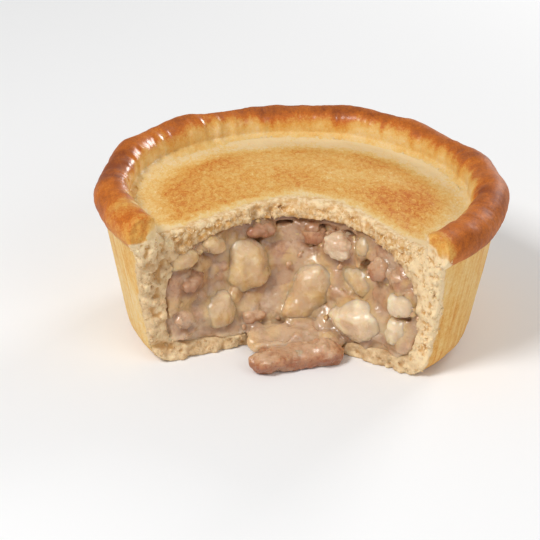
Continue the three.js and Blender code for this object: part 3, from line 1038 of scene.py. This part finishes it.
# How far the facets of each solid are rounded off, and how far two of them stay above the table
GRAVY_ROUNDING = 1.1
CREEP_ROUNDING = 0.8
POTATO_ROUNDING = 0.5
MEAT_ROUNDING = 0.6
GRAVY_LIFT = 0.1
STRIP_LIFT = 0.02

# Power of the height by which the filling's cut leans back: below 1, it leans most near the table
SLUMP = 0.6

# How deep under a lump's skin the gravy goes, and how wide a fillet it draws up round the lump
POTATO_CREEP = (0.6, 3.2)
MEAT_CREEP = (0.55, 3.0)
STRIP_CREEP = (1.3, 2.4)


def node_triangles(name):
    """A solid's merged corners, in millimetres, and its triangles."""
    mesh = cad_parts[name].data
    corners = np.zeros(len(mesh.vertices) * 3, np.float32)
    mesh.vertices.foreach_get("co", corners)
    mesh.calc_loop_triangles()
    faces = np.zeros(len(mesh.loop_triangles) * 3, np.int32)
    mesh.loop_triangles.foreach_get("vertices", faces)
    corners, merged = np.unique((corners.reshape(-1, 3) / MM).round(4), axis=0, return_inverse=True)
    return corners.astype(np.float32), merged.reshape(-1)[faces].reshape(-1, 3).astype(np.uint32)


def solid_field(name, step, rounding):
    """Signed distance to a node's solid on a block of its own, with its facets rounded off."""
    corners, faces = node_triangles(name)
    reach = 4.2
    grid = openvdb.FloatGrid.createLevelSetFromPolygons(
        corners,
        triangles=faces,
        transform=openvdb.createLinearTransform(voxelSize=step),
        halfWidth=reach / step,
    )
    block = Block(corners.min(0) - reach, corners.max(0) + reach, step)
    field = np.zeros(block.count, np.float32)
    grid.copyToArray(field, ijk=tuple(int(i) for i in block.first))
    return soften(field, max(1, round((rounding / step) ** 2))), block


def seal_to_wall(s, field, block):
    """Grows the gravy onto the cavity's wall, so that no gap shows between them at the cut."""
    x, y, z = block.axes
    r = np.sqrt(x * x + y * y) + 0 * z
    near_wall = np.abs(cavity(s).at(r, z + 0 * r) + 0.4) - 1.0
    shell = np.maximum(near_wall, in_cut(s, x, y, z, SLUMP) + 1.0)
    return soft_min(field, shell, 1.2)


def gravy_relief(s, p):
    """Mince and broken potato under the gravy, roughest where it has run out, and sunk in under the lid."""
    x, y, z = p.T
    sunk = 0.8 * smooth(23, 31, z) * smooth(-7, -2, in_cut(s, x, y, z, SLUMP))
    lumpy = 1.5 * grains(p, LUMPY_SIZE, LUMPY_SEED) + 0.5 * grains(p, 1.9, 133)
    lumpy = lumpy * (0.6 + 0.4 * smooth(7, 15, np.abs(x + 2)))
    run_out = smooth(10, 7, z) * smooth(-13, -15, y)
    rough = layered(p, (1.0, 5, 135), (0.6, 2.6, 137)) + 0.1 - 1.2 * smooth(-5, 1, x)
    return layered(p, (0.4, 6, 121), (0.1, 1.3, 125), start=lumpy) + run_out * rough + sunk - 0.2


def film(p):
    """Patches, from 0 to 1, where gravy runs on over the edges of lumps."""
    return smooth(0.05, 0.5, noise(p, 5.5, 143))


def creep(field, block, lumps, bare, reach):
    """Draws gravy up round every lump and in patches over it. Returns the distance to the nearest lump."""
    nearest = np.full(field.shape, 9, np.float32)
    for name in lumps:
        lump, own = solid_field(name, FILLING_STEP, CREEP_ROUNDING)
        low = own.first - block.first
        lo, hi = np.maximum(low, 0), np.minimum(low + own.count, block.count)
        here = tuple(slice(a, b) for a, b in zip(lo, hi, strict=True))
        there = tuple(slice(a, b) for a, b in zip(lo - low, hi - low, strict=True))
        nearest[here] = np.minimum(nearest[here], lump[there])
        own.relief(lump, np.abs(lump) < 3, lambda p: bare + 0.8 * noise(p, 4.0, 127))
        field[here] = soft_min(field[here], lump[there], reach)
    return nearest


@lru_cache(maxsize=1)
def gravy_field(s):
    """The gravy's field, its block, and the distances to the nearest potato and to the nearest meat."""
    field, block = solid_field("gravy_filling", FILLING_STEP, GRAVY_ROUNDING)
    near_cut = in_cut(s, *block.axes, SLUMP) > -10
    block.relief(field, (np.abs(field) < 3) & near_cut, lambda p: gravy_relief(s, p))
    field = seal_to_wall(s, field, block)
    to_potato = creep(field, block, POTATOES, *POTATO_CREEP)
    to_meat = creep(field, block, [name for name in MEATS if name != STRIP], *MEAT_CREEP)
    creep(field, block, [STRIP], *STRIP_CREEP)
    return np.maximum(field, GRAVY_LIFT - block.axes[2]), block, to_potato, to_meat


class PIE_OT_gravy_filling(bpy.types.Operator):
    """Make the gravy, which creeps up round every lump"""

    bl_idname = "pie.gravy_filling"
    bl_label = "Gravy filling"

    def execute(self, context):
        s = sizes_in_mm(context)
        field, block, to_potato, to_meat = gravy_field(s)
        points, quads = skin(field, block)
        x, y, z = points.T
        depth = in_cut(s, x, y, z, SLUMP)
        # Painted shade deep in the cut and just under the lid
        hollow = 0.8 * smooth(-2.5, -5.5, depth) * smooth(-14, -8, depth) + 0.5 * smooth(29, 33, z)
        grain, number = cells(points, LUMPY_SIZE, LUMPY_SEED)
        core = 0.5 * smooth(0.8, 0.35, grain)
        from_meat, from_potato = (sampled(away, block, points) for away in (to_meat, to_potato))
        by_meat, by_potato = (
            LUMP_TINT * smooth(2.2, -0.2, away) * (1 - film(points)) for away in (from_meat, from_potato)
        )
        nearest = np.minimum(from_meat, from_potato)
        above = np.minimum(*(sampled(away, block, points + (0, 0, 0.8)) for away in (to_meat, to_potato)))
        # Painted shadow on the gravy just under each lump
        lump_shadow = 0.75 * smooth(0.1, -0.7, above - nearest) * smooth(2.6, 0.6, nearest)
        marks = {
            "hollow": np.clip(hollow + lump_shadow, 0, 1),
            # Painted shade in the gravy's creases, away from the lumps
            "crease": creases(field, block, points, *CREASE_DEPTH) * smooth(0.7, 2.2, nearest),
            "face": smooth(-6.5, -4.5, depth) * smooth(5, 8, z),
            "meaty": np.maximum(core * ((number > 0.3) & (number < 0.7)), by_meat),
            "mealy": np.maximum(core * (number >= 0.7), by_potato),
            "low": smooth(17, 9, z),
        }
        thing = mesh_object("wet_gravy", points, quads, marks, gravy_material(context))
        thin_out(thing, (depth < -9, FILLING_HIDDEN_SHARE))
        settle(thing, "gravy", "gravy_filling")
        return {"FINISHED"}


def make_lump(context, name, slot, material, rounding, relief, shades):
    """A lump of its solid's form. Its shades follow how far out of the gravy and how high up a place lies."""
    field, block = solid_field(name, LUMP_STEP, rounding)
    block.relief(field, np.abs(field) < 2.5, relief)
    if name == STRIP:
        field = np.maximum(field, STRIP_LIFT - block.axes[2])
    points, quads = skin(field, block)
    out = sampled(*gravy_field(sizes_in_mm(context))[:2], points)
    up = (points[:, 2] - points[:, 2].min()) / np.ptp(points[:, 2])
    marks = shades(points, out, up)
    # Creases of every lump, painted darker as shade
    marks["crease"] = np.maximum(marks["crease"], creases(field, block, points, *CREASE_DEPTH))
    settle(mesh_object(f"{name}_flesh", points, quads, marks, material), slot, name)


def edge_wet(p, out):
    """From 0 to 1, the gravy on a lump's edge, in an uneven band."""
    return smooth(1.7, -0.1, out + layered(p, (0.5, 2.2, 141), (0.7, 5, 139)))


def potato_shades(name, p, out, up):
    """Pale on the crown: partly the bare potato above the gravy, partly painted light, strongest on its top.
    Brown with gravy at the foot and round the edge.
    """
    # Painted light: paler the further out of the gravy, and most at the top
    lit_crown = 0.55 * smooth(0.7, 3.3, out + 0.9 * noise(p, 3, 145))
    lit_crown = lit_crown + 0.6 * smooth(0.5, 0.95, up + 0.15 * noise(p, 3, 149))
    drained = 0.5 * smooth(0.6, 0.1, up + 0.2 * noise(p, 3, 147))
    run_over = 0.6 * film(p) * smooth(3.0, 0.4, out)
    wet = np.maximum(np.maximum(drained, run_over), 0.7 * edge_wet(p, out))
    return {"pale": PALE_LUMPS.get(name, 0.0) + lit_crown, "wet": wet, "crease": 0 * up}


def meat_relief(name, k, p):
    """Clumps of grains, and larger bends on the strip."""
    clumps = 0.5 * noise(p, 4, 171 + k) + 0.9 * grains(p, 2.6, 191 + k)
    if name == STRIP:
        clumps = layered(p, (0.9, 8, 235), (0.8, 4, 237), start=clumps) + 0.5 * grains(p, 4.5, 239)
    return clumps + 0.35 * grains(p, 1.3, 211 + k)


def meat_shades(name, p, out, up):
    """Dark at the foot, as painted shade. The strip is pale with gravy on top and darkest at its left end."""
    pale = PALE_LUMPS.get(name, 0.0) + 0.35 * noise(p, 5, 157)
    wet = np.maximum(0.5 * film(p) * smooth(3.2, 0.6, out), 0.3 * edge_wet(p, out))
    if name == STRIP:
        left_end = smooth(2, -8, p[:, 0]) * smooth(0.8, 0.3, up)
        pale = pale + 0.25 * smooth(0.35, 0.85, up) - 0.5 * left_end
        wet = np.maximum(wet, 0.5 * smooth(0.55, 0.9, up + 0.2 * noise(p, 4, 159)))
    return {"pale": pale, "wet": wet, "crease": 0.95 * smooth(0.7, 0.25, up + 0.15 * noise(p, 4, 153))}


class PIE_OT_potato_lumps(bpy.types.Operator):
    """Make the lumps of boiled potato"""

    bl_idname = "pie.potato_lumps"
    bl_label = "Potato lumps"

    def execute(self, context):
        material = potato_material(context)
        for k, name in enumerate(POTATOES):

            def relief(p, k=k):
                return layered(p, (0.5, 5, 131 + k), (0.25, 2.4, 151 + k), (0.12, 1.1, 161)) - 0.1

            shades = partial(potato_shades, name)
            make_lump(context, name, "potato", material, POTATO_ROUNDING, relief, shades)
        return {"FINISHED"}


class PIE_OT_meat_lumps(bpy.types.Operator):
    """Make the lumps of meat and the strip that has slid out"""

    bl_idname = "pie.meat_lumps"
    bl_label = "Meat lumps"

    def execute(self, context):
        material = meat_material(context)
        for k, name in enumerate(MEATS):
            relief, shades = partial(meat_relief, name, k), partial(meat_shades, name)
            make_lump(context, name, "meat", material, MEAT_ROUNDING, relief, shades)
        return {"FINISHED"}


# Scattered bits

SCATTER_INPUTS = {
    "Geometry": "NodeSocketGeometry",
    "Density": "NodeSocketFloat",
    "Smallest": "NodeSocketFloat",
    "Largest": "NodeSocketFloat",
    "Sink": "NodeSocketFloat",
    "Seed": "NodeSocketInt",
    "Material": "NodeSocketMaterial",
}
FULLEST_SHAPE = (1.3, 1.1, 1.0)
BALL = {"Segments": 6, "Rings": 4, "Radius": 0.5}
DENTS_PER_METRE = 1100.0


def scatter_tree(name, flattest_shape, unevenness):
    """Nodes that strew small uneven lumps over a surface where its face attribute is high."""
    tree = bpy.data.node_groups.new(name, "GeometryNodeTree")
    for label, kind in SCATTER_INPUTS.items():
        tree.interface.new_socket(label, in_out="INPUT", socket_type=kind)
    tree.interface.new_socket("Geometry", in_out="OUTPUT", socket_type="NodeSocketGeometry")

    def node(kind, inputs, **settings):
        made = tree.nodes.new(kind)
        for key, value in settings.items():
            setattr(made, key, value)
        for key, value in inputs.items():
            if isinstance(value, bpy.types.NodeSocket):
                tree.links.new(value, made.inputs[key])
            else:
                made.inputs[key].default_value = value
        return made.outputs

    def scaled(vector, scale):
        return node("ShaderNodeVectorMath", {0: vector, "Scale": scale}, operation="SCALE")[0]

    def random_vector(low, high):
        return node("FunctionNodeRandomValue", {0: low, 1: high}, data_type="FLOAT_VECTOR")[0]

    given = node("NodeGroupInput", {})
    seed = given["Seed"]
    face = node("GeometryNodeInputNamedAttribute", {"Name": "face"}, data_type="FLOAT")["Attribute"]
    amount = node("ShaderNodeMath", {0: given["Density"], 1: face}, operation="MULTIPLY")[0]
    strewn = node(
        "GeometryNodeDistributePointsOnFaces",
        {"Mesh": given["Geometry"], "Density": amount, "Seed": seed},
        distribute_method="RANDOM",
    )
    inward = scaled(strewn["Normal"], given["Sink"])
    sunk = node("GeometryNodeSetPosition", {"Geometry": strewn["Points"], "Offset": inward})[0]

    sizes = {2: given["Smallest"], 3: given["Largest"], "Seed": seed}
    size = node("FunctionNodeRandomValue", sizes, data_type="FLOAT")[1]
    lumps = {
        "Points": sunk,
        "Instance": node("GeometryNodeMeshUVSphere", BALL)["Mesh"],
        "Rotation": random_vector((0, 0, 0), (2 * math.pi,) * 3),
        "Scale": scaled(random_vector(flattest_shape, FULLEST_SHAPE), size),
    }
    copies = node("GeometryNodeInstanceOnPoints", lumps)[0]
    real = node("GeometryNodeRealizeInstances", {0: copies})[0]

    dents = node("ShaderNodeTexNoise", {"Scale": DENTS_PER_METRE})["Color"]
    centred = node("ShaderNodeVectorMath", {0: dents, 1: (0.5, 0.5, 0.5)}, operation="SUBTRACT")[0]
    shift = scaled(scaled(centred, unevenness), given["Largest"])
    dented = node("GeometryNodeSetPosition", {"Geometry": real, "Offset": shift})[0]
    smoothed = node("GeometryNodeSetShadeSmooth", {"Geometry": dented})[0]
    coated = node("GeometryNodeSetMaterial", {"Geometry": smoothed, "Material": given["Material"]})[0]
    node("NodeGroupOutput", {0: coated})
    return tree


def strew(name, hosts, tree, material, **inputs):
    """Strews a tree's lumps over a copy of the hosts' surfaces and returns them as one plain piece."""
    shell = bmesh.new()
    for host in hosts:
        shell.from_mesh(bpy.data.objects[host].data)
    mesh = bpy.data.meshes.new(name)
    shell.to_mesh(mesh)
    shell.free()
    thing = bpy.data.objects.new(name, mesh)
    bpy.context.scene.collection.objects.link(thing)
    modifier = thing.modifiers.new("Strew", "NODES")
    modifier.node_group = tree
    inputs["material"] = material
    for socket in tree.interface.items_tree:
        if socket.in_out == "INPUT" and socket.name.lower() in inputs:
            modifier[socket.identifier] = inputs[socket.name.lower()]
    bake_modifiers(thing)
    return thing


class PIE_OT_pastry_crumbs(bpy.types.Operator):
    """Strew crumbs over the torn pastry"""

    bl_idname = "pie.pastry_crumbs"
    bl_label = "Pastry crumbs"

    def execute(self, context):
        tree = scatter_tree("crumbs", (0.5, 0.5, 0.35), 1.6)
        inputs = {"density": 1.1 / MM**2, "smallest": 0.3 * MM, "largest": 1.1 * MM}
        inputs |= {"sink": -0.15 * MM, "seed": 3}
        crumbs = strew("pastry_crumbs", ["case_crust", "lid_crust"], tree, crumb_material(context), **inputs)
        settle(crumbs, "crust")
        return {"FINISHED"}


class PIE_OT_mince_bits(bpy.types.Operator):
    """Strew small bits of meat and potato over the gravy"""

    bl_idname = "pie.mince_bits"
    bl_label = "Mince bits"

    def execute(self, context):
        tree = scatter_tree("mince", (0.6, 0.5, 0.5), 1.0)
        inputs = {"density": 0.04 / MM**2, "smallest": 1.2 * MM, "largest": 2.6 * MM}
        inputs |= {"sink": -0.5 * MM, "seed": 5}
        bits = strew("mince_bits", ["wet_gravy"], tree, mince_material(context), **inputs)
        settle(bits, "meat")
        return {"FINISHED"}


# Stage

# Each light's name, place, size and power
LIGHTS = (
    ("key", (-0.42, -0.45, 0.7), 0.25, 5.2),
    ("fill", (0.6, -0.6, 0.5), 0.6, 1.6),
    ("back", (0.42, 0.62, 0.3), 0.25, 2.4),
)
LIT_POINT = Vector((0, 0, 0.02))
WORLD_STRENGTH = 0.36
FLOOR_REACH = 4 / MM


class PIE_OT_stage(bpy.types.Operator):
    """Set up the floor, the light and the camera"""

    bl_idname = "pie.stage"
    bl_label = "Stage"

    def execute(self, context):
        scene = context.scene
        stage = scene.pie.stage
        floor_nodes = Nodes("floor")
        floor_nodes.set(Base_Color=tuple(stage.floor), Roughness=0.9, Specular_IOR_Level=0.1)
        corners = np.array([(-1, -1, 0), (1, -1, 0), (1, 1, 0), (-1, 1, 0)], float) * FLOOR_REACH
        floor = mesh_object("floor", corners, np.array([[0, 1, 2, 3]]), {}, floor_nodes.material)
        self.light_up(scene)
        self.aim_camera(scene, stage)
        return {"FINISHED"}

    def light_up(self, scene):
        world = bpy.data.worlds.new("studio")
        scene.world = world
        world.use_nodes = True
        background = world.node_tree.nodes["Background"]
        background.inputs["Color"].default_value = (1, 1, 1, 1)
        background.inputs["Strength"].default_value = WORLD_STRENGTH
        scene.view_settings.view_transform = "Standard"
        for name, place, size, power in LIGHTS:
            lamp = bpy.data.lights.new(name, "AREA")
            lamp.size = size
            lamp.energy = power
            holder = bpy.data.objects.new(name, lamp)
            holder.location = place
            holder.rotation_euler = (LIT_POINT - Vector(place)).to_track_quat("-Z", "Y").to_euler()
            scene.collection.objects.link(holder)

    def aim_camera(self, scene, stage):
        camera = bpy.data.cameras.new("camera")
        camera.lens = stage.lens
        camera.sensor_width = 36
        camera.clip_start, camera.clip_end = 0.01, 20
        holder = bpy.data.objects.new("camera", camera)
        scene.collection.objects.link(holder)
        back = Vector((0, -math.cos(stage.elevation), math.sin(stage.elevation)))
        turn = (-back).to_track_quat("-Z", "Y").to_matrix() @ Matrix.Rotation(stage.roll, 3, "Z")
        wide = camera.sensor_width / camera.lens
        ahead = turn @ Vector((-stage.offset[0] * wide, -stage.offset[1] * wide, -1)).normalized()
        swing = (turn @ Vector((0, 0, -1))).rotation_difference(ahead)
        holder.matrix_world = Matrix.LocRotScale(
            Vector(stage.aim) + back * stage.distance, swing @ turn.to_quaternion(), None
        )
        scene.camera = holder


class PIE_PT_panel(bpy.types.Panel):
    """Pieces of the pie and their settings"""

    bl_idname = "PIE_PT_panel"
    bl_label = "Meat and potato pie"
    bl_space_type = "VIEW_3D"
    bl_region_type = "UI"
    bl_category = "Pie"

    def draw(self, context):
        settings = context.scene.pie
        for operator in OPERATORS:
            self.layout.operator(operator.bl_idname)
        for group in (settings.sizes, settings.colours, settings.stage):
            box = self.layout.box()
            for name in group.__annotations__:
                box.prop(group, name)


OPERATORS = (
    PIE_OT_pastry_case,
    PIE_OT_pastry_lid,
    PIE_OT_gravy_filling,
    PIE_OT_potato_lumps,
    PIE_OT_meat_lumps,
    PIE_OT_pastry_crumbs,
    PIE_OT_mince_bits,
    PIE_OT_stage,
)
CLASSES = (PieSizes, PieColours, PieStage, PieSettings, *OPERATORS, PIE_PT_panel)


def register():
    for cls in CLASSES:
        bpy.utils.register_class(cls)
    bpy.types.Scene.pie = PointerProperty(type=PieSettings)


def unregister():
    del bpy.types.Scene.pie
    for cls in reversed(CLASSES):
        bpy.utils.unregister_class(cls)


def main():
    register()
    for operator in OPERATORS:
        group, name = operator.bl_idname.split(".")
        getattr(getattr(bpy.ops, group), name)()
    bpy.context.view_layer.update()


if __name__ == "__main__":
    main()
